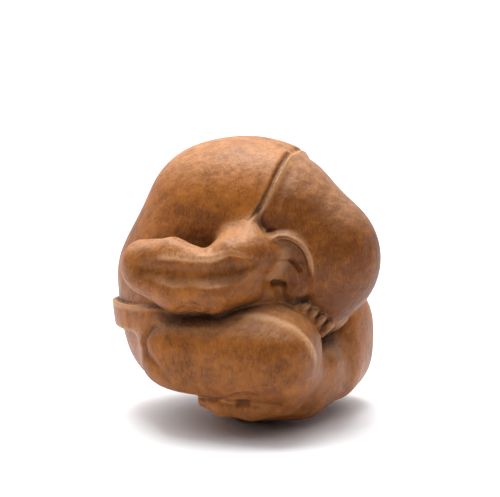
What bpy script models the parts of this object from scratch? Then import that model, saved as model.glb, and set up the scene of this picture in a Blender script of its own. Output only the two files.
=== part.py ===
"""A curled-up seated figure, carved from one block of wood.

The figure sits cross-legged with its bald head bowed into its hands, so that the whole carving is nearly
a ball. It is modelled the way it is carved: a round block is cut back, pass by pass, to a form described
by rounded masses (torso, arms, hands, head, legs), the bands and grooves between them and the relief of
the ears.

Frame: metres, +Z up. The figure faces -Y and its right side is -X. The origin is on the ground, at the
centre of the figure's box.
"""

import math

import bpy
import numpy as np

# Driving size, in metres.
FIGURE_HEIGHT = 0.078

# The carver's grid. Every place below is (forward, right, up) and every size is a length in grid units,
# each about a hundredth of the height. The underside is rubbed flat at GROUND, the back's top is at CROWN,
# and MIDDLE is how far forward the middle of the figure's box lies.
GROUND = 2.0
CROWN = 99.74
MIDDLE = -0.08
UNIT = FIGURE_HEIGHT / (CROWN - GROUND)

# Finish.
WOOD_COLOUR = (0.36, 0.17, 0.07, 1.0)
WOOD_ROUGHNESS = 0.45

# Torso: rounded masses, each (centre, half sizes).
PELVIS = ((-13.5, 0.0, 32.5), (29.5, 31.0, 25.0))
LOINS = ((-16.3, 0.0, 50.0), (30.0, 28.0, 28.0))
UPPER_BACK = ((-6.0, 0.0, 66.0), (30.4, 25.5, 32.2))
NAPE = ((6.0, 0.0, 75.0), (24.0, 23.0, 23.2))
BACK_POWER = 2.2
TORSO_BLEND = 8.0

# The robe's collar. It ends this far forward at its top, and bends back from there on down to the drop,
# where it goes straight. Its edge is a fine ridge with a groove behind it, drawn above the heights:
# (above the surface, past the collar's end, radius).
COLLAR_FORWARD = 17.8
COLLAR_TOP = 97.0
COLLAR_BEND = 0.015
COLLAR_DROP = 20.0
COLLAR_ROUNDING = 3.0
COLLAR_RIDGE = (-0.3, 0.1, 0.55)
COLLAR_GROOVE = (0.3, -1.1, 0.8)
COLLAR_BLEND = 0.5
COLLAR_HEIGHTS = (74.0, 80.0)

# The groove along the spine, as (forward, right, up, radius).
SPINE = ((17.5, 1.5, 96.8, 1.1), (10.0, 2.5, 99.6, 1.0), (0.0, 2.0, 101.0, 0.9), (-12.0, 0.5, 99.4, 0.6))
SPINE_EDGE = 1.5

# Sash round the waist: the height of its middle at the back, its rise to the sides, its width and thickness.
SASH_HEIGHT = 36.0
SASH_RISE = 0.12
SASH_WIDTH = 9.0
SASH_PROUD = 2.4
SASH_EDGE = 0.8
SASH_BLEND = 0.5

# How softly the sections of a limb meet at a joint of its bone.
JOINT_BLEND = 1.5

# Arms: (forward, right, up, radius) along the bones, and along the hollow between upper arm and forearm.
SHOULDER = ((3.0, 34.0, 62.5, 6.8), (6.0, 32.0, 64.0, 7.8), (11.0, 26.5, 65.0, 8.3))
UPPER_ARM = ((-2.0, 37.2, 62.8, 4.8), (-13.0, 36.6, 65.0, 5.6), (-24.2, 33.7, 61.0, 7.8))
FOREARM = ((-23.6, 33.5, 57.5, 7.6), (-12.0, 35.0, 53.6, 8.3), (1.0, 34.0, 54.2, 8.6),
           (8.0, 28.0, 55.3, 7.6), (13.0, 17.0, 51.0, 5.0), (25.0, 13.0, 43.0, 4.5))
ARM_HOLLOW = ((-21.0, 44.0, 60.8, 4.0), (-10.0, 44.6, 60.6, 4.8), (1.0, 44.2, 61.0, 4.8),
              (9.5, 40.0, 61.8, 4.8), (15.0, 35.0, 63.0, 2.0))

# How softly the arms' parts meet, and where the shoulder flows into the back.
ARMPIT_BLEND = 2.5
SHOULDER_BLEND = 6.0
SHOULDER_FORWARD = (-8.0, 4.0)
SHOULDER_UP = (62.0, 70.0)
ELBOW_BLEND = 2.0
ARM_BLEND = 3.5
HOLLOW_BLEND = 1.5

# Hands, pressed to the brow: palm, the two hands' joint mass in the middle, and fingers side by side.
PALM = ((25.3, 9.0, 39.0), (6.2, 7.4, 6.3))
CLASP = ((27.0, 0.0, 41.0), (10.0, 13.0, 8.0))
PALM_BLEND = 1.0
FINGERS = 4
FINGER_RADIUS = 2.0
FINGER_TAPER = 0.8
FINGER_ROOT = (24.0, 18.4, 43.6)
FINGER_STEP = (2.2, -2.3, -2.5)
FINGER_REACH = (3.0, -1.6, 2.8)
FINGER_BLEND = 0.8
BROW_BLEND = 0.8

# Head, bowed so that its crown points forward and down.
SKULL = ((23.0, 0.0, 59.7), (24.7, 19.0, 24.0))
NECK = ((15.3, 0.0, 74.0), (15.9, 22.2, 20.2))
HEAD_BLEND = 8.0

# How softly the head meets the arms and the robe: a crease at the cheek, a soft hollow at the temple, a
# crease behind the ear, and no step under the collar.
CHEEK_BLEND = 1.5
TEMPLE_BLEND = 8.0
TEMPLE_UP = (50.0, 58.0)
NECK_UP = (66.0, 74.0)
NAPE_BLEND = 4.0
NAPE_UP = (76.0, 82.0)

# Ears: an oval rim on the side of the head, drawn between two turns (degrees up from forward) and faded
# at both, with a fold inside it and a lobe below.
EAR_CENTRE = (21.0, 59.3)
EAR_HALVES = (9.1, 11.7)
EAR_TURNS = (-8.0, 125.0)
EAR_FADES = (25.0, 10.0)
EAR_RIM = 1.1
EAR_PROUD = 2.3
EAR_FLAP = 0.2
FOLD_CENTRE = (19.5, 55.5)
FOLD_HALVES = (6.4, 7.2)
FOLD_TURNS = (-60.0, -30.0)
FOLD_PROUD = 0.8
EAR_DEPTHS = (8.0, 10.0)
LOBE = ((22.5, 17.0, 51.0), (4.5, 3.2, 5.5))
LOBE_BLEND = 2.0

# Legs, the left shin crossed over the right one, with its foot beside the right knee's underside. Each
# thigh ends in a boxy knee with a rounded top.
THIGH = ((-1.5, 25.0, 29.6), (26.0, 16.5, 14.0))
THIGH_POWER = 2.9
KNEE = ((14.0, 24.0, 29.6), (20.0, 17.4, 15.2))
KNEE_POWER = 2.6
KNEE_TOP = ((12.0, 22.0, 36.0), (16.5, 13.5, 12.3))
KNEE_BLEND = 6.0
LEFT_KNEE = ((17.0, -20.0, 26.0), (21.2, 19.0, 21.5))
LEFT_KNEE_POWER = 2.6
SHIN_BLEND = 6.0
SHIN_UNDER = ((22.0, 24.0, 22.0, 9.5), (27.0, 6.0, 23.0, 8.5), (18.0, -20.0, 20.0, 8.0))
SHIN_OVER = ((20.0, -24.0, 22.0, 12.0), (27.5, -7.0, 18.5, 10.3), (22.5, 8.0, 14.5, 9.8),
             (10.0, 21.0, 15.0, 8.5), (-3.0, 26.0, 16.5, 4.8))
FOOT = ((-3.5, 32.0, 14.4, 2.4), (4.0, 33.5, 13.8, 3.8), (13.0, 31.5, 14.0, 5.0), (21.0, 23.0, 15.0, 6.0))
LAP = ((4.5, 0.0, 19.0), (24.0, 26.0, 18.5))
FLANK = ((-6.0, 0.0, 47.0), (28.0, 31.0, 13.0))
FLANK_POWER = 3.0
FLANK_BLEND = 4.0
FOOT_BLEND = 2.0
THIGH_BLEND = 1.5

# How softly the legs meet the trunk: a crease in front and a soft hip behind.
LAP_BLEND = 2.0
HIP_BLEND = 6.0
HIP_FORWARD = (-22.0, -10.0)

# Carving: the round block, the mesh sizes from rough to fine, the passes at each and the facets kept.
BLOCK_RADIUS = 60.0
CUTS = (3.0, 1.6, 1.0, 0.8)
PASSES = 5
FACETS = 9000
PROBE = 0.05
LONGEST_CUT = 6.0


def smooth_union(a, b, blend):
    """The union of two masses, with a fillet about as wide as blend where they meet."""
    overlap = np.maximum(blend - np.abs(a - b), 0) / blend
    return np.minimum(a, b) - overlap * overlap * blend / 4


def smooth_cut(a, b, blend):
    """What a and b share, with a rounded edge."""
    return -smooth_union(-a, -b, blend)


def ramp(value, low, high):
    """0 below low, 1 above high, and smooth between."""
    t = np.clip((value - low) / (high - low), 0, 1)
    return t * t * (3 - 2 * t)


def mass(points, centre, halves, power=2.0):
    """Distance to a rounded mass: an ellipsoid at power 2, boxier above it."""
    share = np.abs(points - np.array(centre)) / np.array(halves) + 1e-9
    level = (share**power).sum(axis=1) ** (1 / power)
    slope = share ** (power - 1) * level[:, None] ** (1 - power) / np.array(halves)
    return (level - 1) / np.linalg.norm(slope, axis=1)


def limb(points, bone):
    """Distance to a limb: round sections of changing radius along a bone."""
    found = None
    for (*start, r0), (*end, r1) in zip(bone, bone[1:]):
        start = np.array(start)
        along = np.array(end) - start
        t = np.clip(((points - start) @ along) / (along @ along), 0, 1)
        d = np.linalg.norm(points - start - t[:, None] * along, axis=1) - (r0 + (r1 - r0) * t)
        found = d if found is None else smooth_union(found, d, JOINT_BLEND)
    return found


def oval(side, centre, halves):
    """How far out (1 on the oval) and which way round (degrees up from forward) each point lies."""
    across = (side[:, 0] - centre[0]) / halves[0]
    above = (side[:, 2] - centre[1]) / halves[1]
    return np.hypot(across, above), np.degrees(np.arctan2(above, across))


def past_collar(points):
    """How far forward of the collar's end each point lies."""
    drop = np.maximum(COLLAR_TOP - points[:, 2], 0)
    near = np.minimum(drop, COLLAR_DROP)
    return points[:, 0] - COLLAR_FORWARD + COLLAR_BEND * near * (2 * drop - near)


def collar(found, points):
    """The figure with the collar's edge drawn round its neck."""
    high = ramp(points[:, 2], *COLLAR_HEIGHTS)
    ridge, groove = (np.hypot(found - above, past_collar(points) - past) - radius * high
                     for above, past, radius in (COLLAR_RIDGE, COLLAR_GROOVE))
    return smooth_cut(smooth_union(found, ridge, COLLAR_BLEND), -groove, COLLAR_BLEND)


def torso(points, side):
    found = smooth_union(mass(points, *PELVIS), mass(points, *LOINS), TORSO_BLEND)
    for lump in (UPPER_BACK, NAPE):
        found = smooth_union(found, mass(points, *lump, power=BACK_POWER), TORSO_BLEND)
    found = smooth_cut(found, past_collar(points), COLLAR_ROUNDING)
    return smooth_union(found, sash(found, side), SASH_BLEND)


def sash(trunk, side):
    """A flat band that follows the trunk round the waist."""
    middle = SASH_HEIGHT + SASH_RISE * side[:, 1]
    return smooth_cut(trunk - SASH_PROUD, np.abs(side[:, 2] - middle) - SASH_WIDTH / 2, SASH_EDGE)


def arms(side):
    upper = smooth_union(limb(side, SHOULDER), limb(side, UPPER_ARM), ELBOW_BLEND)
    whole = smooth_union(upper, limb(side, FOREARM), ARM_BLEND)
    return smooth_cut(whole, -limb(side, ARM_HOLLOW), HOLLOW_BLEND)


def hands(side):
    found = smooth_union(mass(side, *PALM), mass(side, *CLASP), PALM_BLEND)
    for n in range(FINGERS):
        root = np.array(FINGER_ROOT) + n * np.array(FINGER_STEP)
        tip = root + np.array(FINGER_REACH)
        bone = ((*root, FINGER_RADIUS), (*tip, FINGER_RADIUS * FINGER_TAPER))
        found = smooth_union(found, limb(side, bone), FINGER_BLEND)
    return found


def ear(head_field, side):
    """The head with the ear raised on its side."""
    out, turn = oval(side, EAR_CENTRE, EAR_HALVES)
    drawn = 1
    for sign, at, fade in zip((1, -1), EAR_TURNS, EAR_FADES):
        drawn = drawn * ramp(sign * (turn - at), -fade, fade)
    rim = EAR_PROUD * drawn * np.exp(-((out - 1) * min(EAR_HALVES) / EAR_RIM) ** 2)
    flap = EAR_FLAP * ramp(-out, -1.0, -0.9)
    out, turn = oval(side, FOLD_CENTRE, FOLD_HALVES)
    fold = FOLD_PROUD * ramp(-out, -1.1, -0.9) * ramp(turn, *FOLD_TURNS)
    return head_field - (rim + flap + fold) * ramp(side[:, 1], *EAR_DEPTHS)


def head(points, side):
    found = smooth_union(mass(points, *SKULL), mass(points, *NECK), HEAD_BLEND)
    return smooth_union(ear(found, side), mass(side, *LOBE), LOBE_BLEND)


def legs(points, side):
    found = smooth_union(mass(points, *LAP), mass(points, *FLANK, power=FLANK_POWER), FLANK_BLEND)
    found = smooth_union(found, limb(points, SHIN_UNDER), SHIN_BLEND)
    shin = smooth_union(limb(points, SHIN_OVER), mass(points, *LEFT_KNEE, power=LEFT_KNEE_POWER), SHIN_BLEND)
    found = smooth_union(smooth_union(found, shin, SHIN_BLEND), limb(points, FOOT), FOOT_BLEND)
    thigh = mass(side, *THIGH, power=THIGH_POWER)
    for knee in (mass(side, *KNEE, power=KNEE_POWER), mass(side, *KNEE_TOP)):
        thigh = smooth_union(thigh, knee, KNEE_BLEND)
    return smooth_union(found, thigh, THIGH_BLEND)


def figure(points):
    """Signed distance to the carved surface, negative inside the wood."""
    forward, right, up = points.T
    side = np.stack((forward, np.abs(right), up), axis=1)
    found = torso(points, side)
    shoulder = ramp(forward, *SHOULDER_FORWARD) * ramp(up, *SHOULDER_UP)
    found = smooth_union(found, arms(side), ARMPIT_BLEND + SHOULDER_BLEND * shoulder)
    hip = 1 - ramp(forward, *HIP_FORWARD)
    found = smooth_union(found, legs(points, side), LAP_BLEND + (HIP_BLEND - LAP_BLEND) * hip)
    temple = ramp(up, *TEMPLE_UP) - ramp(up, *NECK_UP)
    blend = CHEEK_BLEND + (TEMPLE_BLEND - CHEEK_BLEND) * temple
    blend += (NAPE_BLEND - CHEEK_BLEND) * ramp(up, *NAPE_UP)
    found = collar(smooth_union(found, head(points, side), blend), points)
    found = smooth_union(found, hands(side), BROW_BLEND)
    return smooth_cut(found, -limb(side, SPINE), SPINE_EDGE)


def surface_step(points, field):
    """How far each point has to move to reach the field's surface, along the field's slope."""
    corners = np.array(((1, 1, 1), (1, -1, -1), (-1, 1, -1), (-1, -1, 1)), float)
    values = [field(points + PROBE * corner) for corner in corners]
    slope = sum(value[:, None] * corner for value, corner in zip(values, corners)) / (4 * PROBE)
    level = sum(values) / 4
    step = -slope * (level / np.maximum((slope**2).sum(axis=1), PROBE))[:, None]
    length = np.linalg.norm(step, axis=1)
    return step * np.minimum(1, LONGEST_CUT / np.maximum(length, 1e-9))[:, None]


def to_grid(points):
    """Model axes, in metres, to the carver's grid."""
    x, y, z = points.T / UNIT
    return np.stack((MIDDLE - y, -x, z + GROUND), axis=1)


def to_model(points):
    """The carver's grid to model axes, in metres."""
    forward, right, up = points.T
    return np.stack((-right, MIDDLE - forward, up - GROUND), axis=1) * UNIT


def carve(block, field, mesh_size):
    """Remesh the block evenly and cut it back to the field."""
    remesh = block.modifiers.new("remesh", "REMESH")
    remesh.mode = "VOXEL"
    remesh.voxel_size = mesh_size * UNIT
    graph = bpy.context.evaluated_depsgraph_get()
    mesh = bpy.data.meshes.new_from_object(block.evaluated_get(graph))
    block.modifiers.clear()
    old, block.data = block.data, mesh
    bpy.data.meshes.remove(old)
    points = np.empty(len(mesh.vertices) * 3, np.float32)
    mesh.vertices.foreach_get("co", points)
    points = to_grid(points.reshape(-1, 3).astype(float))
    for _ in range(PASSES):
        points += surface_step(points, field)
    mesh.vertices.foreach_set("co", to_model(points).astype(np.float32).ravel())
    mesh.update()


def clear_scene():
    for obj in list(bpy.data.objects):
        bpy.data.objects.remove(obj)


def wood():
    material = bpy.data.materials.new("wood")
    material.use_nodes = True
    shader = material.node_tree.nodes["Principled BSDF"]
    shader.inputs["Base Color"].default_value = WOOD_COLOUR
    shader.inputs["Roughness"].default_value = WOOD_ROUGHNESS
    return material


def rub_flat(block):
    """Rub the underside flat at the ground, so that the figure stands still."""
    side = 2 * BLOCK_RADIUS * UNIT
    bpy.ops.mesh.primitive_cube_add(size=side, location=(0, 0, -side / 2))
    rub = bpy.context.object
    rub.name = "rub"
    rub.hide_render = True
    rub.display_type = "WIRE"
    cut = block.modifiers.new("rub_flat", "BOOLEAN")
    cut.operation = "DIFFERENCE"
    cut.object = rub


def make_figure():
    radius = BLOCK_RADIUS * UNIT
    bpy.ops.mesh.primitive_ico_sphere_add(subdivisions=5, radius=radius, location=(0, 0, FIGURE_HEIGHT / 2))
    block = bpy.context.object
    block.name = "carved_figure"
    bpy.ops.object.transform_apply(location=True)
    for mesh_size in CUTS:
        carve(block, figure, mesh_size)
    block.data.materials.clear()
    block.data.materials.append(wood())
    thin = block.modifiers.new("thin_out", "DECIMATE")
    thin.ratio = FACETS / (2 * len(block.data.polygons))
    rub_flat(block)
    block.data.shade_smooth()


def main():
    clear_scene()
    make_figure()


main()
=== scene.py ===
"""The looks of a curled-up wooden figure: its carved surface, its finish, and the studio it stands in.

The figure is carved again from the CAD solid, finer, to the same form. Every place in it is (forward,
right, up) in the carver's grid, whose unit is about a hundredth of the figure's height.
"""

import math

import bpy
import numpy as np
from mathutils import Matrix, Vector


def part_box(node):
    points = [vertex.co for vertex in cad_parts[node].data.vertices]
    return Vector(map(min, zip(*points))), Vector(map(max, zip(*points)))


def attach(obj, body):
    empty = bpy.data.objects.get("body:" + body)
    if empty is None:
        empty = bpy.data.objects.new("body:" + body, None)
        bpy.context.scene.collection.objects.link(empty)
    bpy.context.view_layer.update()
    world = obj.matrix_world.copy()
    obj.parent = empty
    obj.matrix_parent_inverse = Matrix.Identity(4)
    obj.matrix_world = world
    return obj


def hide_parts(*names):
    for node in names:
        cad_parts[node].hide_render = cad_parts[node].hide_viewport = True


bl_info = {
    "name": "Curled-up Wooden Figure",
    "version": (1, 0, 0),
    "blender": (4, 5, 0),
    "location": "View3D > Sidebar > Figure",
    "description": "Carves and finishes a curled-up wooden figure and sets up its studio",
    "category": "Object",
}

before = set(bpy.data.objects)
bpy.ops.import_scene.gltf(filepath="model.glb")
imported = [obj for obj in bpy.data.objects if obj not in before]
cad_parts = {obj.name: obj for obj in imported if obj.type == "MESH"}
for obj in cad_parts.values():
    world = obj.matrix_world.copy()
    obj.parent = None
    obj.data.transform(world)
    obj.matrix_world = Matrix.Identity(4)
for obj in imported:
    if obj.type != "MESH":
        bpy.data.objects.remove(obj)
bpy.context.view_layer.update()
SOLID = "carved_figure"

# The carver's grid: the underside is flat at GROUND, the back's top is at CROWN, and MIDDLE is how far
# forward the middle of the figure's box lies.
GROUND = 2.0
CROWN = 99.74
MIDDLE = -0.08
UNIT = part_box(SOLID)[1].z / (CROWN - GROUND)

# Millimetres in a metre.
MM = 1000.0

# Torso: rounded masses, each (centre, half sizes).
PELVIS = ((-13.5, 0.0, 32.5), (29.5, 31.0, 25.0))
LOINS = ((-16.3, 0.0, 50.0), (30.0, 28.0, 28.0))
UPPER_BACK = ((-6.0, 0.0, 66.0), (30.4, 25.5, 32.2))
NAPE = ((6.0, 0.0, 75.0), (24.0, 23.0, 23.2))
BACK_POWER = 2.2
TORSO_BLEND = 8.0

# The robe's collar. It ends this far forward at its top, and bends back from there on down to the drop,
# where it goes straight. Its edge is a fine ridge with a groove behind it, drawn above the heights:
# (above the surface, past the collar's end, radius).
COLLAR_FORWARD = 17.8
COLLAR_TOP = 97.0
COLLAR_BEND = 0.015
COLLAR_DROP = 20.0
COLLAR_ROUNDING = 3.0
COLLAR_RIDGE = (-0.3, 0.1, 0.55)
COLLAR_GROOVE = (0.3, -1.1, 0.8)
COLLAR_BLEND = 0.5
COLLAR_HEIGHTS = (74.0, 80.0)

# The groove along the spine, as (forward, right, up, radius).
SPINE = ((17.5, 1.5, 96.8, 1.1), (10.0, 2.5, 99.6, 1.0), (0.0, 2.0, 101.0, 0.9), (-12.0, 0.5, 99.4, 0.6))
SPINE_EDGE = 1.5

# Sash round the waist: the height of its middle at the back, its rise to the sides, its width and thickness.
SASH_HEIGHT = 36.0
SASH_RISE = 0.12
SASH_WIDTH = 9.0
SASH_PROUD = 2.4
SASH_EDGE = 0.8
SASH_BLEND = 0.5

# How softly the sections of a limb meet at a joint of its bone.
JOINT_BLEND = 1.5

# Arms: (forward, right, up, radius) along the bones, and along the hollow between upper arm and forearm.
SHOULDER = ((3.0, 34.0, 62.5, 6.8), (6.0, 32.0, 64.0, 7.8), (11.0, 26.5, 65.0, 8.3))
UPPER_ARM = ((-2.0, 37.2, 62.8, 4.8), (-13.0, 36.6, 65.0, 5.6), (-24.2, 33.7, 61.0, 7.8))
FOREARM = ((-23.6, 33.5, 57.5, 7.6), (-12.0, 35.0, 53.6, 8.3), (1.0, 34.0, 54.2, 8.6),
           (8.0, 28.0, 55.3, 7.6), (13.0, 17.0, 51.0, 5.0), (25.0, 13.0, 43.0, 4.5))
ARM_HOLLOW = ((-21.0, 44.0, 60.8, 4.0), (-10.0, 44.6, 60.6, 4.8), (1.0, 44.2, 61.0, 4.8),
              (9.5, 40.0, 61.8, 4.8), (15.0, 35.0, 63.0, 2.0))

# How softly the arms' parts meet, and where the shoulder flows into the back.
ARMPIT_BLEND = 2.5
SHOULDER_BLEND = 6.0
SHOULDER_FORWARD = (-8.0, 4.0)
SHOULDER_UP = (62.0, 70.0)
ELBOW_BLEND = 2.0
ARM_BLEND = 3.5
HOLLOW_BLEND = 1.5

# Hands, pressed to the brow: palm, the two hands' joint mass in the middle, and fingers side by side.
PALM = ((25.3, 9.0, 39.0), (6.2, 7.4, 6.3))
CLASP = ((27.0, 0.0, 41.0), (10.0, 13.0, 8.0))
PALM_BLEND = 1.0
FINGERS = 4
FINGER_RADIUS = 2.0
FINGER_TAPER = 0.8
FINGER_ROOT = (24.0, 18.4, 43.6)
FINGER_STEP = (2.2, -2.3, -2.5)
FINGER_REACH = (3.0, -1.6, 2.8)
FINGER_BLEND = 0.8
BROW_BLEND = 0.8

# Head, bowed so that its crown points forward and down.
SKULL = ((23.0, 0.0, 59.7), (24.7, 19.0, 24.0))
NECK = ((15.3, 0.0, 74.0), (15.9, 22.2, 20.2))
HEAD_BLEND = 8.0

# How softly the head meets the arms and the robe: a crease at the cheek, a soft hollow at the temple, a
# crease behind the ear, and no step under the collar.
CHEEK_BLEND = 1.5
TEMPLE_BLEND = 8.0
TEMPLE_UP = (50.0, 58.0)
NECK_UP = (66.0, 74.0)
NAPE_BLEND = 4.0
NAPE_UP = (76.0, 82.0)

# Ears: an oval rim on the side of the head, drawn between two turns (degrees up from forward) and faded
# at both, with a flap and a fold inside it and a lobe below. The flap and the fold rise over an edge, given
# in shares of their oval.
EAR_CENTRE = (21.0, 59.3)
EAR_HALVES = (9.1, 11.7)
EAR_TURNS = (-8.0, 125.0)
EAR_FADES = (25.0, 10.0)
EAR_RIM = 1.1
EAR_PROUD = 2.3
EAR_FLAP = 0.2
FOLD_CENTRE = (19.5, 55.5)
FOLD_HALVES = (6.4, 7.2)
FOLD_TURNS = (-60.0, -30.0)
FOLD_PROUD = 0.8
FLAP_EDGE = (-1.0, -0.9)
FOLD_EDGE = (-1.1, -0.9)
EAR_DEPTHS = (8.0, 10.0)
LOBE = ((22.5, 17.0, 51.0), (4.5, 3.2, 5.5))
LOBE_BLEND = 2.0

# Legs, the left shin crossed over the right one, with its foot beside the right knee's underside. Each
# thigh ends in a boxy knee with a rounded top.
THIGH = ((-1.5, 25.0, 29.6), (26.0, 16.5, 14.0))
THIGH_POWER = 2.9
KNEE = ((14.0, 24.0, 29.6), (20.0, 17.4, 15.2))
KNEE_POWER = 2.6
KNEE_TOP = ((12.0, 22.0, 36.0), (16.5, 13.5, 12.3))
KNEE_BLEND = 6.0
LEFT_KNEE = ((17.0, -20.0, 26.0), (21.2, 19.0, 21.5))
LEFT_KNEE_POWER = 2.6
SHIN_BLEND = 6.0
SHIN_UNDER = ((22.0, 24.0, 22.0, 9.5), (27.0, 6.0, 23.0, 8.5), (18.0, -20.0, 20.0, 8.0))
SHIN_OVER = ((20.0, -24.0, 22.0, 12.0), (27.5, -7.0, 18.5, 10.3), (22.5, 8.0, 14.5, 9.8),
             (10.0, 21.0, 15.0, 8.5), (-3.0, 26.0, 16.5, 4.8))
FOOT = ((-3.5, 32.0, 14.4, 2.4), (4.0, 33.5, 13.8, 3.8), (13.0, 31.5, 14.0, 5.0), (21.0, 23.0, 15.0, 6.0))
LAP = ((4.5, 0.0, 19.0), (24.0, 26.0, 18.5))
FLANK = ((-6.0, 0.0, 47.0), (28.0, 31.0, 13.0))
FLANK_POWER = 3.0
FLANK_BLEND = 4.0
FOOT_BLEND = 2.0
THIGH_BLEND = 1.5

# How softly the legs meet the trunk: a crease in front and a soft hip behind.
LAP_BLEND = 2.0
HIP_BLEND = 6.0
HIP_FORWARD = (-22.0, -10.0)

# Knife marks on both sides of the figure: (places along the mark, half width, depth, painted light). A mark
# with a negative depth is raised. Its painted light goes from 1, painted shade as dark as a crease's, to -1,
# a pale painted highlight.
MARKS = {
    "sleeve fold": (((-12.7, 37.9, 70.6), (-8.3, 37.3, 69.4), (-3.6, 37.4, 68.1), (1.0, 39.3, 66.7)),
                    0.4, 0.45, 0.7),
    "elbow pleat": (((0.2, 36.4, 68.5), (1.1, 39.7, 66.2), (0.5, 40.0, 63.8)), 0.7, -0.5, -0.5),
    # Painted highlight: a pale rim along the arm's shelf.
    "shelf edge": (((-20.0, 40.5, 65.0), (-12.0, 42.0, 65.4), (-3.0, 42.5, 64.8), (4.0, 41.0, 65.5),
                    (9.0, 37.0, 67.0)), 2.2, -0.3, -0.9),
    "sleeve hem": (((-16.2, 40.5, 48.3), (-11.4, 39.1, 46.0), (-7.1, 40.8, 48.1), (-3.0, 36.5, 45.5),
                    (1.0, 38.5, 49.0), (6.0, 37.7, 47.8)), 0.6, 0.5, 0.5),
    "sleeve pleat": (((-9.0, 41.5, 47.0), (-4.5, 42.3, 50.5), (-3.0, 42.3, 51.0), (0.5, 41.5, 47.5)),
                     0.6, 0.5, 0.4),
    "ear bowl": (((21.7, 20.4, 62.8), (23.3, 19.7, 62.4), (24.9, 19.3, 61.0), (25.9, 19.1, 59.4),
                  (26.6, 18.9, 57.3)), 0.5, 0.7, 0.7),
    "ear bowl lip": (((25.4, 19.3, 62.0), (26.8, 19.1, 60.0), (27.5, 18.9, 57.5)), 0.4, -0.35, -0.5),
    "ear hole": (((15.5, 22.6, 55.2), (18.7, 20.7, 54.3), (22.0, 20.0, 53.4)), 1.0, 1.2, 1.0),
    "brow hollow": (((23.5, 20.0, 48.7), (26.3, 18.0, 48.5), (29.0, 16.4, 49.2)), 1.0, 1.2, 1.0),
    "neck hollow": (((14.7, 20.6, 72.2), (16.4, 20.5, 72.0), (18.8, 21.1, 71.9)), 0.6, 0.7, 0.9),
    "nape mark": (((19.9, 16.4, 83.4), (19.3, 17.7, 81.2), (17.9, 19.5, 76.3)), 0.4, -0.2, -0.3),
    # Painted highlight on the knee's rim, and painted shade on its face below.
    "knee rim": (((4.0, 34.2, 44.6), (12.0, 33.6, 45.4), (19.0, 33.0, 44.4), (25.2, 32.0, 42.9),
                  (30.1, 31.0, 39.7), (33.1, 29.3, 35.1), (33.9, 27.0, 30.4), (33.5, 28.5, 25.6)),
                 2.0, -0.8, -1.0),
    "knee face": (((14.0, 42.0, 39.5), (22.0, 40.0, 37.0), (26.5, 38.0, 34.0), (29.0, 36.5, 29.0),
                   (29.0, 36.5, 24.0)), 2.6, 0.6, 0.15),
    "thigh end": (((-15.5, 36.4, 41.5), (-20.0, 34.6, 38.4), (-22.7, 34.9, 34.5), (-21.8, 36.4, 30.5),
                   (-17.0, 38.8, 26.2), (-9.6, 39.5, 21.3)), 1.8, 0.9, 0.3),
    "hem": (((-5.8, 32.5, 15.1), (-2.0, 34.9, 16.4), (1.9, 36.6, 16.5), (6.6, 38.6, 17.7),
             (11.6, 40.4, 20.1), (15.8, 40.4, 20.8), (19.5, 38.7, 19.3), (22.5, 37.4, 18.9)), 0.7, 0.8, 0.6),
    "hem dimple": (((8.5, 36.8, 15.8), (12.1, 37.1, 16.5), (15.6, 37.0, 16.7)), 1.4, 1.2, 0.8),
}

# A mark fades over this share of its length at each end, and is felt this many half widths away. Its path
# gets this many places for each one given.
MARK_TAPER = 0.25
MARK_REACH = 3
MARK_PLACES = 6

# Edge of the flat that the figure stands on.
BASE_EDGE = 0.3

# Where creases and hollows get painted shade and where edges are worn: how far the surface is felt for a
# neighbour, in grid units, and how far outside the head's own surface its darker wood ends and starts.
CREASE_REACH = 1.5
HOLLOW_REACH = 7.0
WORN_REACH = 2.0
HEAD_WOOD = (-1.5, 0.0)

# Carving: the first mesh size in grid units, how often it is cut to the surface, how far apart the surface
# is felt, the longest cut at a time, and the most triangles that are kept.
ROUGH_MESH = 0.9
PASSES = 3
PROBE = 0.05
LONGEST_CUT = 6.0
MOST_FACETS = 190000

# Keeps a division by zero away.
TINY = 1e-9

# Noise over the wood: (patches per millimetre, detail, roughness).
PATCHES = (0.09, 3.0, 0.6)
MOTTLE = (0.3, 7.0, 0.75)
FACETS = (0.3, 2.0, 0.5)

# Streaks in the wood: (how many per millimetre across, and along, and the noise that starts and ends them).
GRAIN = (2.4, 0.6, 0.25, 0.75)
PORES = (2.2, 0.55, 0.65, 0.73)
SCRATCHES = (2.6, 0.12, 0.68, 0.78)
SCRATCH_TURN = (0.9, 0.5, 0.3)
STREAK_NOISE = (1.0, 2.0, 0.6)

# How much each of these adds to the wood's tone, where the underside's share is painted shade that darkens
# the wood where it faces down, the slopes from the underside to the sides over which that painted shade
# fades, and the tones that are darkest and palest.
PATCH_TONE = 1.3
MOTTLE_TONE = 1.9
GRAIN_TONE = 0.3
HEAD_TONE = -0.4
UNDERSIDE_SHADE_TONE = -0.2
UNDERSIDE_SHADE_SLOPE = (-0.9, 0.1)
TONES = (1.1, 2.25)

# Where the wood is paler: edges worn pale, and a painted sheen on the tops: (where the pale colour starts,
# where it is full). Raised knife marks get a painted highlight, by their painted light: (where it is full,
# where it ends). The mottle and the grain break it up: (from, to, least, most).
WORN_EDGE = (0.1, 0.6)
WORN_SHARE = 0.5
TOP_SHEEN_SLOPE = (0.35, 0.9)
TOP_SHEEN_MOTTLE = (0.3, 0.7, 0.2, 0.5)
MARK_HIGHLIGHT_SPAN = (-1.0, -0.1)
MARK_HIGHLIGHT_GRAIN = (0.0, 1.0, 0.35, 0.9)
SCRATCH_SHARE = 0.35

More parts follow.
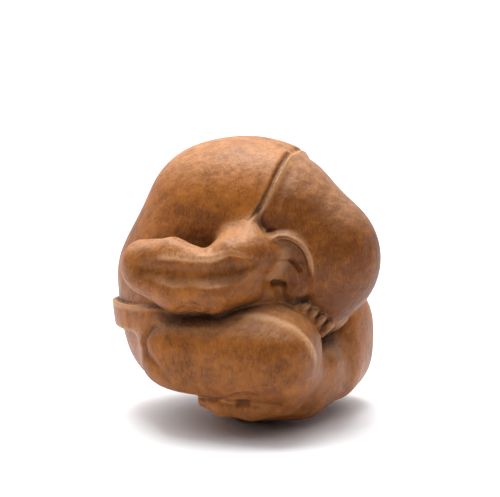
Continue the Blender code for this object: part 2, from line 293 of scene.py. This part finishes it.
# Where the wood is dark: the pores, and painted shade in creases, in the dark knife marks and in hollows,
# with their shares of the dark colour.
PORE_SHARE = 0.75
CREASE_SHADE_SPAN = (0.25, 0.95)
MARK_SHADE_SPAN = (0.1, 1.0)
CREASE_SHADE_SHARE = 0.85
HOLLOW_SHADE_SPAN = (0.3, 1.0)
HOLLOW_SHADE_SHARE = 0.45

# How much rougher the mottle, the creases and marks painted with shade, and the pores make the wax.
MOTTLE_ROUGH = 0.4
DARK_ROUGH = 0.3
PORE_ROUGH = 0.2

# Height of each part of the fine relief, in millimetres.
FACET_RELIEF = 0.7
MOTTLE_RELIEF = 0.13
GRAIN_RELIEF = 0.06
PORE_RELIEF = -0.08
SCRATCH_RELIEF = -0.04

# The photograph: its size, the pixel size in grid units, the pixel just under the figure's middle and how far
# below the grid's origin it lies, and the width of the camera's sensor in millimetres.
PHOTO_SIZE = (500, 497)
PHOTO_PIXEL = 0.35
PHOTO_STAND = (247, 421)
PHOTO_DROP = 1.0
SENSOR = 36.0

# Studio: the floor's size in metres, the (scale, detail) of the dust on it and how dark that is, the lamp's
# place (height, away from the camera, to the left) and size, how the walls' light runs from behind the figure
# to the camera, how the ceiling's runs upwards, and how far the ceiling's leans to the left.
FLOOR_SIZE = 6
FLOOR_DUST = (40.0, 3.0)
FLOOR_SHADE = 0.97
LAMP_PLACE = (0.52, 0.08, 0.03)
LAMP_SIZE = 0.36
WALL_LIGHT = (-0.2, 0.5, 1.0, 0.04)
CEILING_LIGHT = (0.5, 0.9, 0.0, 1.2)
CEILING_LEAN = 0.15
WALL_COLOUR = (0.95, 0.97, 1.0, 1.0)


class FigureLooks(bpy.types.PropertyGroup):
    """Sizes and colours of the carved figure."""

    mesh_size: bpy.props.FloatProperty(
        name="Mesh size", description="Size of the carved surface's facets, in millimetres", default=0.36,
        min=0.2, unit="NONE")
    mark_depth: bpy.props.FloatProperty(
        name="Mark depth", description="Depth of the knife marks, as a share of their full depth",
        default=1.0, min=0.0, max=1.5, subtype="FACTOR")
    light_wood: bpy.props.FloatVectorProperty(
        name="Light wood", description="Colour of the palest wood", default=(0.37, 0.116, 0.013),
        min=0, max=1, subtype="COLOR")
    dark_wood: bpy.props.FloatVectorProperty(
        name="Dark wood", description="Colour of the darkest wood", default=(0.15, 0.041, 0.005),
        min=0, max=1, subtype="COLOR")
    pore_colour: bpy.props.FloatVectorProperty(
        name="Pores", description="Colour of the pores", default=(0.07, 0.028, 0.014),
        min=0, max=1, subtype="COLOR")
    # Painted shade: the colour that creases, hollows and dark knife marks are darkened towards.
    crease_shade_colour: bpy.props.FloatVectorProperty(
        name="Creases", description="Colour of the deepest creases", default=(0.045, 0.02, 0.012),
        min=0, max=1, subtype="COLOR")
    # Also the colour of the painted sheen on the tops and of the painted highlight on raised marks.
    wear_and_sheen_colour: bpy.props.FloatVectorProperty(
        name="Worn edges", description="Colour of edges worn by hands", default=(0.58, 0.31, 0.15),
        min=0, max=1, subtype="COLOR")
    roughness: bpy.props.FloatProperty(
        name="Roughness", description="Roughness of the waxed wood", default=0.46, min=0, max=1,
        subtype="FACTOR")
    relief: bpy.props.FloatProperty(
        name="Relief", description="Strength of the grain and tool marks", default=0.9, min=0, max=2,
        subtype="FACTOR")


class StudioLooks(bpy.types.PropertyGroup):
    """Floor, lights and camera of the studio."""

    floor_colour: bpy.props.FloatVectorProperty(
        name="Floor", description="Colour of the floor", default=(0.97, 0.97, 0.975), min=0, max=1,
        subtype="COLOR")
    overhead: bpy.props.FloatProperty(
        name="Overhead light", description="Power of the soft light above", default=3.3, min=0, unit="POWER")
    surroundings: bpy.props.FloatProperty(
        name="Surroundings", description="Brightness of the white walls", default=1.0, min=0,
        unit="NONE")
    camera_side: bpy.props.FloatProperty(
        name="Camera side", description="Turn of the camera from the figure's front",
        default=math.radians(-70.0), subtype="ANGLE")
    camera_height: bpy.props.FloatProperty(
        name="Camera height", description="Height of the camera above level", default=math.radians(12.0),
        subtype="ANGLE")
    camera_distance: bpy.props.FloatProperty(
        name="Camera distance", description="Distance from the camera to the figure", default=0.75,
        subtype="DISTANCE", unit="LENGTH")


def smooth_union(a, b, blend):
    """The union of two masses, with a fillet about as wide as blend where they meet."""
    overlap = np.maximum(blend - np.abs(a - b), 0) / blend
    return np.minimum(a, b) - overlap * overlap * blend / 4


def smooth_cut(a, b, blend):
    """What a and b share, with a rounded edge."""
    return -smooth_union(-a, -b, blend)


def ramp(value, low, high):
    """0 below low, 1 above high, and smooth between."""
    t = np.clip((value - low) / (high - low), 0, 1)
    return t * t * (3 - 2 * t)


def mass(points, centre, halves, power=2.0):
    """Distance to a rounded mass: an ellipsoid at power 2, boxier above it."""
    share = np.abs(points - np.array(centre)) / np.array(halves) + TINY
    level = (share**power).sum(axis=1) ** (1 / power)
    slope = share ** (power - 1) * level[:, None] ** (1 - power) / np.array(halves)
    return (level - 1) / np.linalg.norm(slope, axis=1)


def limb(points, bone):
    """Distance to a limb: round sections of changing radius along a bone."""
    found = None
    for (*start, r0), (*end, r1) in zip(bone, bone[1:]):
        start = np.array(start)
        along = np.array(end) - start
        t = np.clip(((points - start) @ along) / (along @ along), 0, 1)
        d = np.linalg.norm(points - start - t[:, None] * along, axis=1) - (r0 + (r1 - r0) * t)
        found = d if found is None else smooth_union(found, d, JOINT_BLEND)
    return found


def oval(side, centre, halves):
    """How far out (1 on the oval) and which way round (degrees up from forward) each point lies."""
    across = (side[:, 0] - centre[0]) / halves[0]
    above = (side[:, 2] - centre[1]) / halves[1]
    return np.hypot(across, above), np.degrees(np.arctan2(above, across))


def past_collar(points):
    """How far forward of the collar's end each point lies."""
    drop = np.maximum(COLLAR_TOP - points[:, 2], 0)
    near = np.minimum(drop, COLLAR_DROP)
    return points[:, 0] - COLLAR_FORWARD + COLLAR_BEND * near * (2 * drop - near)


def collar(found, points):
    """The figure with the collar's edge drawn round its neck."""
    high = ramp(points[:, 2], *COLLAR_HEIGHTS)
    ridge, groove = (np.hypot(found - above, past_collar(points) - past) - radius * high
                     for above, past, radius in (COLLAR_RIDGE, COLLAR_GROOVE))
    return smooth_cut(smooth_union(found, ridge, COLLAR_BLEND), -groove, COLLAR_BLEND)


def torso(points, side):
    found = smooth_union(mass(points, *PELVIS), mass(points, *LOINS), TORSO_BLEND)
    for lump in (UPPER_BACK, NAPE):
        found = smooth_union(found, mass(points, *lump, power=BACK_POWER), TORSO_BLEND)
    found = smooth_cut(found, past_collar(points), COLLAR_ROUNDING)
    return smooth_union(found, sash(found, side), SASH_BLEND)


def sash(trunk, side):
    """A flat band that follows the trunk round the waist."""
    middle = SASH_HEIGHT + SASH_RISE * side[:, 1]
    return smooth_cut(trunk - SASH_PROUD, np.abs(side[:, 2] - middle) - SASH_WIDTH / 2, SASH_EDGE)


def arms(side):
    upper = smooth_union(limb(side, SHOULDER), limb(side, UPPER_ARM), ELBOW_BLEND)
    whole = smooth_union(upper, limb(side, FOREARM), ARM_BLEND)
    return smooth_cut(whole, -limb(side, ARM_HOLLOW), HOLLOW_BLEND)


def hands(side):
    found = smooth_union(mass(side, *PALM), mass(side, *CLASP), PALM_BLEND)
    for n in range(FINGERS):
        root = np.array(FINGER_ROOT) + n * np.array(FINGER_STEP)
        tip = root + np.array(FINGER_REACH)
        bone = ((*root, FINGER_RADIUS), (*tip, FINGER_RADIUS * FINGER_TAPER))
        found = smooth_union(found, limb(side, bone), FINGER_BLEND)
    return found


def ear(head_field, side):
    """The head with the ear raised on its side."""
    out, turn = oval(side, EAR_CENTRE, EAR_HALVES)
    drawn = 1
    for sign, at, fade in zip((1, -1), EAR_TURNS, EAR_FADES):
        drawn = drawn * ramp(sign * (turn - at), -fade, fade)
    rim = EAR_PROUD * drawn * np.exp(-((out - 1) * min(EAR_HALVES) / EAR_RIM) ** 2)
    flap = EAR_FLAP * ramp(-out, *FLAP_EDGE)
    out, turn = oval(side, FOLD_CENTRE, FOLD_HALVES)
    fold = FOLD_PROUD * ramp(-out, *FOLD_EDGE) * ramp(turn, *FOLD_TURNS)
    return head_field - (rim + flap + fold) * ramp(side[:, 1], *EAR_DEPTHS)


def head(points, side):
    found = smooth_union(mass(points, *SKULL), mass(points, *NECK), HEAD_BLEND)
    return smooth_union(ear(found, side), mass(side, *LOBE), LOBE_BLEND)


def legs(points, side):
    found = smooth_union(mass(points, *LAP), mass(points, *FLANK, power=FLANK_POWER), FLANK_BLEND)
    found = smooth_union(found, limb(points, SHIN_UNDER), SHIN_BLEND)
    shin = smooth_union(limb(points, SHIN_OVER), mass(points, *LEFT_KNEE, power=LEFT_KNEE_POWER), SHIN_BLEND)
    found = smooth_union(smooth_union(found, shin, SHIN_BLEND), limb(points, FOOT), FOOT_BLEND)
    thigh = mass(side, *THIGH, power=THIGH_POWER)
    for knee in (mass(side, *KNEE, power=KNEE_POWER), mass(side, *KNEE_TOP)):
        thigh = smooth_union(thigh, knee, KNEE_BLEND)
    return smooth_union(found, thigh, THIGH_BLEND)


def folded(points):
    """Points of both sides on the right side."""
    return points * (1, 0, 1) + np.abs(points) * (0, 1, 0)


def figure(points):
    """Signed distance to the carved surface, negative inside the wood."""
    forward, right, up = points.T
    side = folded(points)
    found = torso(points, side)
    shoulder = ramp(forward, *SHOULDER_FORWARD) * ramp(up, *SHOULDER_UP)
    found = smooth_union(found, arms(side), ARMPIT_BLEND + SHOULDER_BLEND * shoulder)
    hip = 1 - ramp(forward, *HIP_FORWARD)
    found = smooth_union(found, legs(points, side), LAP_BLEND + (HIP_BLEND - LAP_BLEND) * hip)
    temple = ramp(up, *TEMPLE_UP) - ramp(up, *NECK_UP)
    blend = CHEEK_BLEND + (TEMPLE_BLEND - CHEEK_BLEND) * temple
    blend += (NAPE_BLEND - CHEEK_BLEND) * ramp(up, *NAPE_UP)
    found = collar(smooth_union(found, head(points, side), blend), points)
    found = smooth_union(found, hands(side), BROW_BLEND)
    found = smooth_cut(found, -limb(side, SPINE), SPINE_EDGE)
    return smooth_cut(found, GROUND - up, BASE_EDGE)


def surface_slope(points, field):
    """The field's level and slope at each point."""
    corners = np.array(((1, 1, 1), (1, -1, -1), (-1, 1, -1), (-1, -1, 1)), float)
    values = [field(points + PROBE * corner) for corner in corners]
    slope = sum(value[:, None] * corner for value, corner in zip(values, corners)) / (4 * PROBE)
    return sum(values) / 4, slope


def surface_step(points, field):
    """How far each point has to move to reach the field's surface, along the field's slope."""
    level, slope = surface_slope(points, field)
    step = -slope * (level / np.maximum((slope**2).sum(axis=1), PROBE))[:, None]
    length = np.linalg.norm(step, axis=1)
    return step * np.minimum(1, LONGEST_CUT / np.maximum(length, TINY))[:, None]


def outward(points):
    """Unit vectors out of the wood."""
    slope = surface_slope(points, figure)[1]
    return slope / np.maximum(np.linalg.norm(slope, axis=1), TINY)[:, None]


def on_surface(path):
    """A path of many places on the carved surface, through a few places near it."""
    path = np.array(path)
    ends = np.arange(len(path))
    shares = np.linspace(0, len(path) - 1, MARK_PLACES * len(path))
    places = np.stack([np.interp(shares, ends, path[:, axis]) for axis in range(3)], axis=1)
    for _ in range(PASSES):
        places += surface_step(places, figure)
    return places


def knife_marks(points):
    """How deep the knife marks are at each point, and the painted light they give it: painted shade in cuts,
    painted highlight on raised marks.
    """
    side = folded(points)
    found = np.zeros((2, len(points)))
    for path, half_width, *strengths in MARKS.values():
        places = on_surface(path)
        reach = MARK_REACH * half_width
        low, high = places.min(axis=0) - reach, places.max(axis=0) + reach
        near = np.flatnonzero(((side > low) & (side < high)).all(axis=1))
        closest, share = np.full(len(near), np.inf), np.zeros(len(near))
        for n, (start, end) in enumerate(zip(places, places[1:])):
            along = end - start
            t = np.clip(((side[near] - start) @ along) / (along @ along), 0, 1)
            d = np.linalg.norm(side[near] - start - t[:, None] * along, axis=1)
            share = np.where(d < closest, (n + t) / (len(places) - 1), share)
            closest = np.minimum(closest, d)
        ends = ramp(share, 0, MARK_TAPER) * ramp(1 - share, 0, MARK_TAPER)
        found[:, near] += np.outer(strengths, ends * np.exp(-(closest / half_width) ** 2))
    return found


def to_grid(points):
    """Model axes, in metres, to the carver's grid."""
    x, y, z = points.T / UNIT
    return np.stack((MIDDLE - y, -x, z + GROUND), axis=1)


def to_model(points):
    """The carver's grid to model axes, in metres."""
    forward, right, up = points.T
    return np.stack((-right, MIDDLE - forward, up - GROUND), axis=1) * UNIT


def mesh_points(mesh):
    """A mesh's points in the carver's grid."""
    points = np.empty(len(mesh.vertices) * 3, np.float32)
    mesh.vertices.foreach_get("co", points)
    return to_grid(points.reshape(-1, 3).astype(float))


def set_mesh_points(mesh, points):
    mesh.vertices.foreach_set("co", to_model(points).astype(np.float32).ravel())
    mesh.update()


def apply_modifiers(piece):
    """Give the piece the mesh that its modifiers make."""
    graph = bpy.context.evaluated_depsgraph_get()
    mesh = bpy.data.meshes.new_from_object(piece.evaluated_get(graph))
    piece.modifiers.clear()
    old, piece.data = piece.data, mesh
    bpy.data.meshes.remove(old)


def carve(piece, mesh_size):
    """Remesh the piece evenly and cut it to the figure."""
    remesh = piece.modifiers.new("remesh", "REMESH")
    remesh.mode = "VOXEL"
    remesh.voxel_size = mesh_size * UNIT
    apply_modifiers(piece)
    points = mesh_points(piece.data)
    for _ in range(PASSES):
        points += surface_step(points, figure)
    set_mesh_points(piece.data, points)


def thin_out(piece, facets):
    """Take facets out where the surface is smooth."""
    triangles = 2 * len(piece.data.polygons)
    if triangles <= facets:
        return
    thin = piece.modifiers.new("thin_out", "DECIMATE")
    thin.ratio = facets / triangles
    apply_modifiers(piece)


def openness(points, out, reach):
    """How open the space is above each point: 1 over flat wood and 0 deep in a crease."""
    return np.clip(figure(points + out * reach) / reach, 0, 1)


def note_wear_and_painted_light(mesh):
    """Keep on the mesh where the wood is worn, which way it faces, where the head's darker wood is, and where
    creases, hollows and knife marks get painted shade and painted highlight, for its finish.
    """
    points = mesh_points(mesh)
    out = outward(points)
    side = folded(points)
    masks = {
        # Which way the surface faces: painted shade underneath and a painted sheen on the tops.
        "facing_up": out[:, 2],
        "head": ramp(figure(points) - head(points, side), *HEAD_WOOD),
        # Painted shade: how closed in the space over a crease and over a hollow is.
        "crease": 1 - openness(points, out, CREASE_REACH),
        "hollow": 1 - openness(points, out, HOLLOW_REACH),
        "worn": 1 - np.clip(-figure(points - out * WORN_REACH) / WORN_REACH, 0, 1),
        # Painted light from the knife marks: shade above zero, highlight below.
        "mark_shade_and_highlight": knife_marks(points)[1],
    }
    for name, values in masks.items():
        mesh.attributes.new(name, "FLOAT", "POINT").data.foreach_set("value", values.astype(np.float32))


def add(tree, kind, inputs=None, **settings):
    """A node with its settings, and its inputs set to values or joined to sockets."""
    node = tree.nodes.new("ShaderNode" + kind)
    for name, value in settings.items():
        setattr(node, name, value)
    for key, value in (inputs or {}).items():
        if isinstance(value, bpy.types.NodeSocket):
            tree.links.new(value, node.inputs[key])
        else:
            node.inputs[key].default_value = value
    return node


def calculate(tree, operation, *values):
    return add(tree, "Math", dict(enumerate(values)), operation=operation).outputs[0]


def mix(tree, factor, a, b):
    """Colour a turned into colour b by the factor."""
    colours = {key: (*value, 1.0) if isinstance(value, tuple) else value for key, value in ((6, a), (7, b))}
    return add(tree, "Mix", {0: factor, **colours}, data_type="RGBA").outputs[2]


def weighted_sum(tree, start, *terms):
    """The start plus each value times its weight."""
    total = start
    for value, weight in terms:
        total = calculate(tree, "MULTIPLY_ADD", value, weight, total)
    return total


def noise(tree, place, scale, detail, roughness):
    inputs = {"Vector": place, "Scale": scale, "Detail": detail, "Roughness": roughness}
    return add(tree, "TexNoise", inputs).outputs["Fac"]


def span(tree, value, low, high, start=0.0, end=1.0):
    """The value's run from low to high, as a smooth run from start to end."""
    inputs = {"Value": value, "From Min": low, "From Max": high, "To Min": start, "To Max": end}
    return add(tree, "MapRange", inputs, interpolation_type="SMOOTHSTEP").outputs[0]


def streaks_group():
    """Streaks that run one way: grain lines, pores or scratches, by their sizes and how sparse they are."""
    group = bpy.data.node_groups.new("streaks", "ShaderNodeTree")
    face = group.interface
    face.new_socket("Place", in_out="INPUT", socket_type="NodeSocketVector")
    for name in ("Across", "Along", "Low", "High"):
        face.new_socket(name, in_out="INPUT", socket_type="NodeSocketFloat")
    face.new_socket("Mask", in_out="OUTPUT", socket_type="NodeSocketFloat")
    given = group.nodes.new("NodeGroupInput").outputs
    scale = add(group, "CombineXYZ", {"X": given["Across"], "Y": given["Across"], "Z": given["Along"]})
    place = add(group, "VectorMath", {0: given["Place"], 1: scale.outputs[0]}, operation="MULTIPLY")
    mask = span(group, noise(group, place.outputs[0], *STREAK_NOISE), given["Low"], given["High"])
    group.links.new(mask, group.nodes.new("NodeGroupOutput").inputs["Mask"])
    return group


def streaks(tree, group, place, across, along, low, high):
    """The mask of one kind of streaks."""
    inputs = {"Place": place, "Across": across, "Along": along, "Low": low, "High": high}
    return add(tree, "Group", inputs, node_tree=group).outputs["Mask"]


def new_material(name):
    material = bpy.data.materials.new(name)
    material.use_nodes = True
    material.node_tree.nodes.clear()
    return material, material.node_tree


def waxed_wood(looks):
    """Waxed brown wood: patches, grain, pores, scratches and paler worn edges, with painted shade in creases,
    hollows, cut marks and on the underside, a painted sheen on the tops and painted highlights on raised
    marks.
    """
    material, tree = new_material("waxed_wood")
    group = streaks_group()
    object_place = add(tree, "TexCoord").outputs["Object"]
    place = add(tree, "Mapping", {"Vector": object_place, "Scale": (MM, MM, MM)}).outputs[0]
    crease, hollow, worn, mark_shade_and_highlight, facing_up, head_wood = (
        add(tree, "Attribute", attribute_name=name).outputs["Fac"]
        for name in ("crease", "hollow", "worn", "mark_shade_and_highlight", "facing_up", "head"))

    patches, mottle, facets = (noise(tree, place, *kind) for kind in (PATCHES, MOTTLE, FACETS))
    tilted = add(tree, "Mapping", {"Vector": place, "Rotation": SCRATCH_TURN}).outputs[0]
    grain, pores, scratches = (
        streaks(tree, group, at, *kind) for at, kind in ((place, GRAIN), (place, PORES), (tilted, SCRATCHES)))
    # Painted shade: darker wood where the surface faces down.
    underside = span(tree, facing_up, *UNDERSIDE_SHADE_SLOPE, 1.0, 0.0)
    # Painted shade in creases and in the dark knife marks.
    dark = calculate(tree, "MAXIMUM", span(tree, crease, *CREASE_SHADE_SPAN), span(tree, mark_shade_and_highlight, *MARK_SHADE_SPAN))

    tone = weighted_sum(tree, 0.0, (mottle, MOTTLE_TONE), (patches, PATCH_TONE), (grain, GRAIN_TONE),
                        (head_wood, HEAD_TONE), (underside, UNDERSIDE_SHADE_TONE))
    colour = mix(tree, span(tree, tone, *TONES), tuple(looks.dark_wood), tuple(looks.light_wood))
    for mask, share, paint in (
            (span(tree, worn, *WORN_EDGE), WORN_SHARE, looks.wear_and_sheen_colour),
            # Painted sheen: paler wood on the tops, where the overhead light falls.
            (span(tree, facing_up, *TOP_SHEEN_SLOPE), span(tree, mottle, *TOP_SHEEN_MOTTLE), looks.wear_and_sheen_colour),
            # Painted highlight along the raised knife marks.
            (span(tree, mark_shade_and_highlight, *MARK_HIGHLIGHT_SPAN, 1.0, 0.0), span(tree, grain, *MARK_HIGHLIGHT_GRAIN), looks.wear_and_sheen_colour),
            (scratches, SCRATCH_SHARE, looks.wear_and_sheen_colour),
            (pores, PORE_SHARE, looks.pore_colour),
            # Painted shade in creases, dark knife marks and hollows.
            (dark, CREASE_SHADE_SHARE, looks.crease_shade_colour),
            (span(tree, hollow, *HOLLOW_SHADE_SPAN), HOLLOW_SHADE_SHARE, looks.crease_shade_colour)):
        colour = mix(tree, calculate(tree, "MULTIPLY", mask, share), colour, tuple(paint))

    rough = weighted_sum(tree, looks.roughness - MOTTLE_ROUGH / 2, (mottle, MOTTLE_ROUGH), (dark, DARK_ROUGH),
                         (pores, PORE_ROUGH))
    height = weighted_sum(tree, 0.0, (mottle, MOTTLE_RELIEF), (facets, FACET_RELIEF), (grain, GRAIN_RELIEF),
                          (pores, PORE_RELIEF), (scratches, SCRATCH_RELIEF))
    bump = add(tree, "Bump", {"Height": height, "Strength": looks.relief, "Distance": 1 / MM})
    shader = add(tree, "BsdfPrincipled", {"Base Color": colour, "Roughness": rough, "Normal": bump.outputs[0],
                                          "IOR": 1.3, "Coat Weight": 0.08, "Coat Roughness": 0.3})
    add(tree, "OutputMaterial", {"Surface": shader.outputs[0]})
    return material


class OBJECT_OT_carve_curled_figure(bpy.types.Operator):
    """Carve the curled-up figure and give it its waxed wood"""

    bl_idname = "object.carve_curled_figure"
    bl_label = "Carve Curled-up Figure"

    def execute(self, context):
        looks = context.scene.figure_looks
        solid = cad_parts[SOLID]
        piece = bpy.data.objects.new("curled_figure", solid.data.copy())
        context.collection.objects.link(piece)
        carve(piece, ROUGH_MESH)
        carve(piece, looks.mesh_size / (MM * UNIT))
        points = mesh_points(piece.data)
        depths = knife_marks(points)[0] * looks.mark_depth
        points -= outward(points) * depths[:, None]
        points[:, 2] = np.maximum(points[:, 2], GROUND)
        set_mesh_points(piece.data, points)
        thin_out(piece, MOST_FACETS)
        note_wear_and_painted_light(piece.data)
        piece.data.materials.clear()
        piece.data.materials.append(waxed_wood(looks))
        piece.data.shade_smooth()
        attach(piece, "root")
        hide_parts(SOLID)
        return {"FINISHED"}


def place_camera(scene, looks):
    """Put the camera where the photograph was taken, with the photograph's framing."""
    turn, height = looks.camera_side, looks.camera_height
    back = Vector((math.sin(turn) * math.cos(height), -math.cos(turn) * math.cos(height), math.sin(height)))
    right = Vector((math.cos(turn), math.sin(turn), 0))
    up = back.cross(right)
    pixel = PHOTO_PIXEL * UNIT
    width, tall = PHOTO_SIZE
    stand = Vector((0, MIDDLE * UNIT, -GROUND * UNIT)) - up * PHOTO_DROP * UNIT
    aim = stand + right * (width / 2 - PHOTO_STAND[0]) * pixel + up * (PHOTO_STAND[1] - tall / 2) * pixel
    camera = bpy.data.objects.new("photo_camera", bpy.data.cameras.new("photo_camera"))
    camera.data.sensor_width = SENSOR
    camera.data.lens = SENSOR * looks.camera_distance / (width * pixel)
    camera.location = aim + back * looks.camera_distance
    camera.rotation_mode = "QUATERNION"
    camera.rotation_quaternion = back.to_track_quat("Z", "Y")
    scene.collection.objects.link(camera)
    scene.camera = camera
    return back, right


def overhead_light(scene, looks, back, right):
    """A square soft light above the figure, aimed at its middle."""
    height, away, left = LAMP_PLACE
    light = bpy.data.lights.new("overhead", "AREA")
    light.size = LAMP_SIZE
    light.energy = looks.overhead
    lamp = bpy.data.objects.new("overhead", light)
    level_back = Vector((back.x, back.y, 0)).normalized()
    lamp.location = Vector((0, 0, height)) - away * level_back - left * right
    middle = Vector((0, 0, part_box(SOLID)[1].z / 2))
    lamp.rotation_mode = "QUATERNION"
    lamp.rotation_quaternion = (lamp.location - middle).to_track_quat("Z", "Y")
    scene.collection.objects.link(lamp)


def white_walls(scene, looks, back, right):
    """White walls round the figure, dark on the side that the photograph was taken from."""
    world = bpy.data.worlds.new("white_walls")
    world.use_nodes = True
    scene.world = world
    tree = world.node_tree
    tree.nodes.clear()
    direction = add(tree, "TexCoord").outputs["Generated"]
    ceiling = (Vector((0, 0, 1)) - CEILING_LEAN * right).normalized()
    lit = []
    for middle, run in ((back, WALL_LIGHT), (ceiling, CEILING_LIGHT)):
        near = add(tree, "VectorMath", {0: direction, 1: tuple(middle)}, operation="DOT_PRODUCT")
        lit.append(span(tree, near.outputs["Value"], *run))
    strength = calculate(tree, "MULTIPLY", calculate(tree, "ADD", *lit), looks.surroundings)
    walls = add(tree, "Background", {"Color": WALL_COLOUR, "Strength": strength})
    seen = add(tree, "Background", {"Color": (1.0, 1.0, 1.0, 1.0), "Strength": 1.0})
    from_camera = add(tree, "LightPath").outputs["Is Camera Ray"]
    both = add(tree, "MixShader", {0: from_camera, 1: walls.outputs[0], 2: seen.outputs[0]})
    add(tree, "OutputWorld", {"Surface": both.outputs[0]})


def pale_floor(looks):
    material, tree = new_material("pale_floor")
    scale, detail = FLOOR_DUST
    dust = add(tree, "TexNoise", {"Scale": scale, "Detail": detail}).outputs["Fac"]
    colour = tuple(looks.floor_colour)
    darker = tuple(FLOOR_SHADE * channel for channel in colour)
    shader = add(tree, "BsdfPrincipled", {"Base Color": mix(tree, dust, darker, colour), "Roughness": 0.6})
    add(tree, "OutputMaterial", {"Surface": shader.outputs[0]})
    return material


class SCENE_OT_curled_figure_studio(bpy.types.Operator):
    """Set up the floor, the lights and the camera"""

    bl_idname = "scene.curled_figure_studio"
    bl_label = "Set Up Studio"

    def execute(self, context):
        scene, looks = context.scene, context.scene.studio_looks
        bpy.ops.mesh.primitive_plane_add(size=FLOOR_SIZE)
        floor = context.object
        floor.name = "floor"
        floor.data.materials.append(pale_floor(looks))
        back, right = place_camera(scene, looks)
        overhead_light(scene, looks, back, right)
        white_walls(scene, looks, back, right)
        scene.view_settings.view_transform = "Standard"
        return {"FINISHED"}


class VIEW3D_PT_curled_figure(bpy.types.Panel):
    """Sizes, colours and light of the curled-up figure"""

    bl_label = "Curled-up Figure"
    bl_space_type = "VIEW_3D"
    bl_region_type = "UI"
    bl_category = "Figure"

    def draw(self, context):
        for owner, operator in (("figure_looks", OBJECT_OT_carve_curled_figure),
                                ("studio_looks", SCENE_OT_curled_figure_studio)):
            looks = getattr(context.scene, owner)
            box = self.layout.box()
            for name in looks.__annotations__:
                box.prop(looks, name)
            box.operator(operator.bl_idname)


CLASSES = (FigureLooks, StudioLooks, OBJECT_OT_carve_curled_figure, SCENE_OT_curled_figure_studio,
           VIEW3D_PT_curled_figure)


def register():
    for kind in CLASSES:
        bpy.utils.register_class(kind)
    bpy.types.Scene.figure_looks = bpy.props.PointerProperty(type=FigureLooks)
    bpy.types.Scene.studio_looks = bpy.props.PointerProperty(type=StudioLooks)


def unregister():
    del bpy.types.Scene.studio_looks
    del bpy.types.Scene.figure_looks
    for kind in reversed(CLASSES):
        bpy.utils.unregister_class(kind)


def main():
    register()
    bpy.ops.object.carve_curled_figure()
    bpy.ops.scene.curled_figure_studio()


if __name__ == "__main__":
    main()
